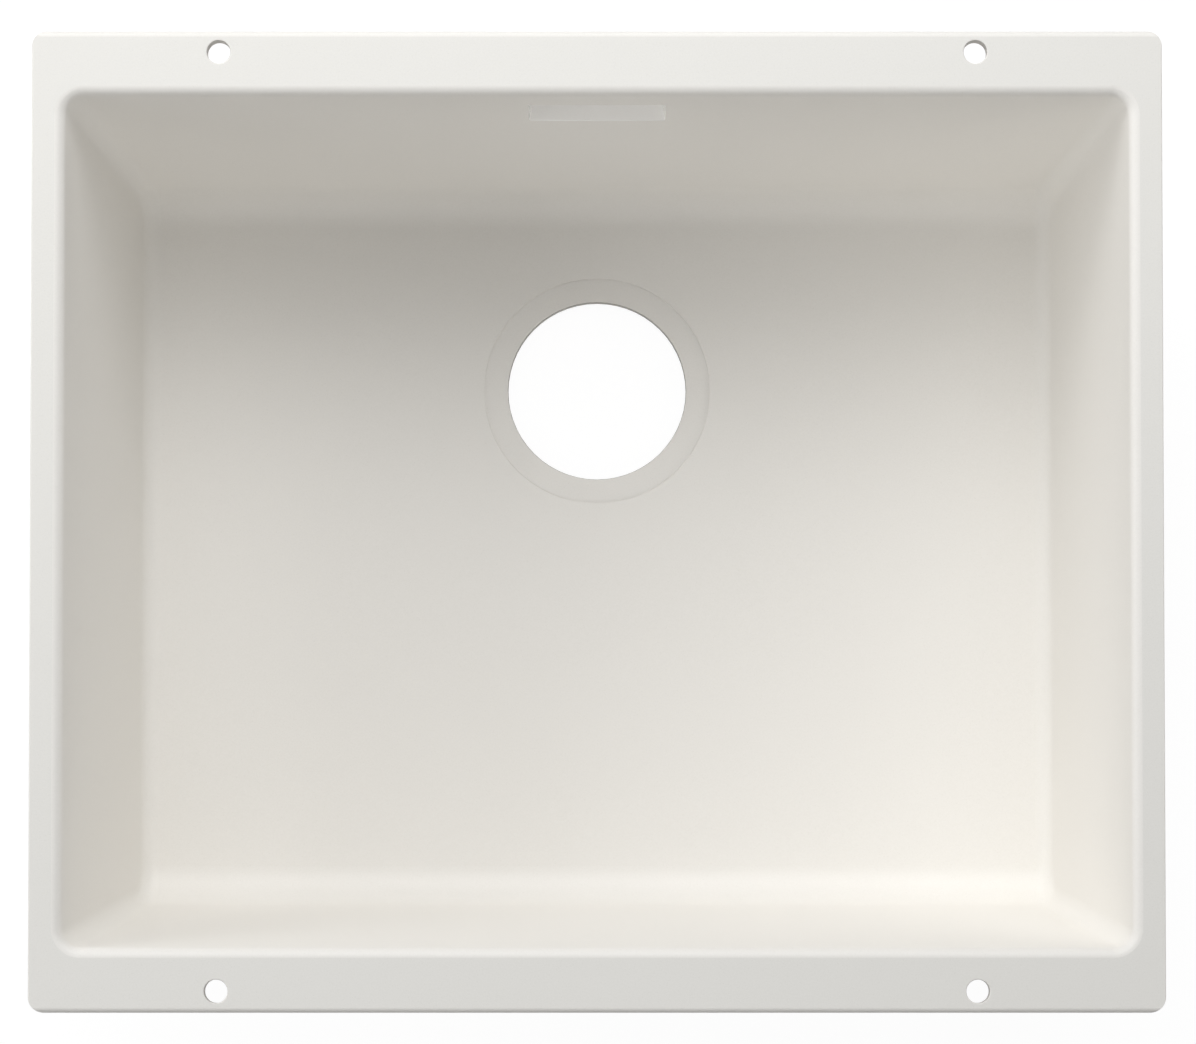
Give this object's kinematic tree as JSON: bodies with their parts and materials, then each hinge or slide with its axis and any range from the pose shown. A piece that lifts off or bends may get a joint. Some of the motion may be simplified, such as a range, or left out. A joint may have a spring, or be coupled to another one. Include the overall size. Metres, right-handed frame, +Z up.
{
  "type": "undermount kitchen sink",
  "caption": "Rectangular undermount sink: sloping cast bowl, flange with fixing holes, round waste hole, overflow slot and overflow fitting with a swivelling outlet.",
  "frame": {"origin": "centre of the flange's top face, which is also the centre of the four fixing holes", "axes": "+X to the right along the flange's long side, +Y to the back where the overflow is, +Z up to the worktop"},
  "size_m": [0.53, 0.46, 0.198],
  "materials": {
    "granite_composite": "matte, very fine grain",
    "moulded_plastic": "satin",
    "seal_rubber": "matte",
    "insert_brass": "turned",
    "screw_steel": "plain",
    "clip_plastic": "satin"
  },
  "bodies": {
    "sink": {"bowl": "granite_composite", "overflow_housing": "moulded_plastic", "housing_seal": "seal_rubber", "threaded_inserts": "insert_brass", "housing_screws": "screw_steel", "screw_washers": "screw_steel", "retaining_clip": "clip_plastic"},
    "outlet": {"outlet_elbow": "moulded_plastic", "elbow_o_ring": "seal_rubber", "cone_seal": "seal_rubber", "slip_ring": "clip_plastic", "union_nut": "moulded_plastic"}
  },
  "joints": [
    {"name": "outlet_swivel", "type": "hinge", "parent": "sink", "child": "outlet", "pos_m": [0, 0.21377, -0.088], "axis": [0, 0, 1], "range_deg": [0, 180]}
  ]
}
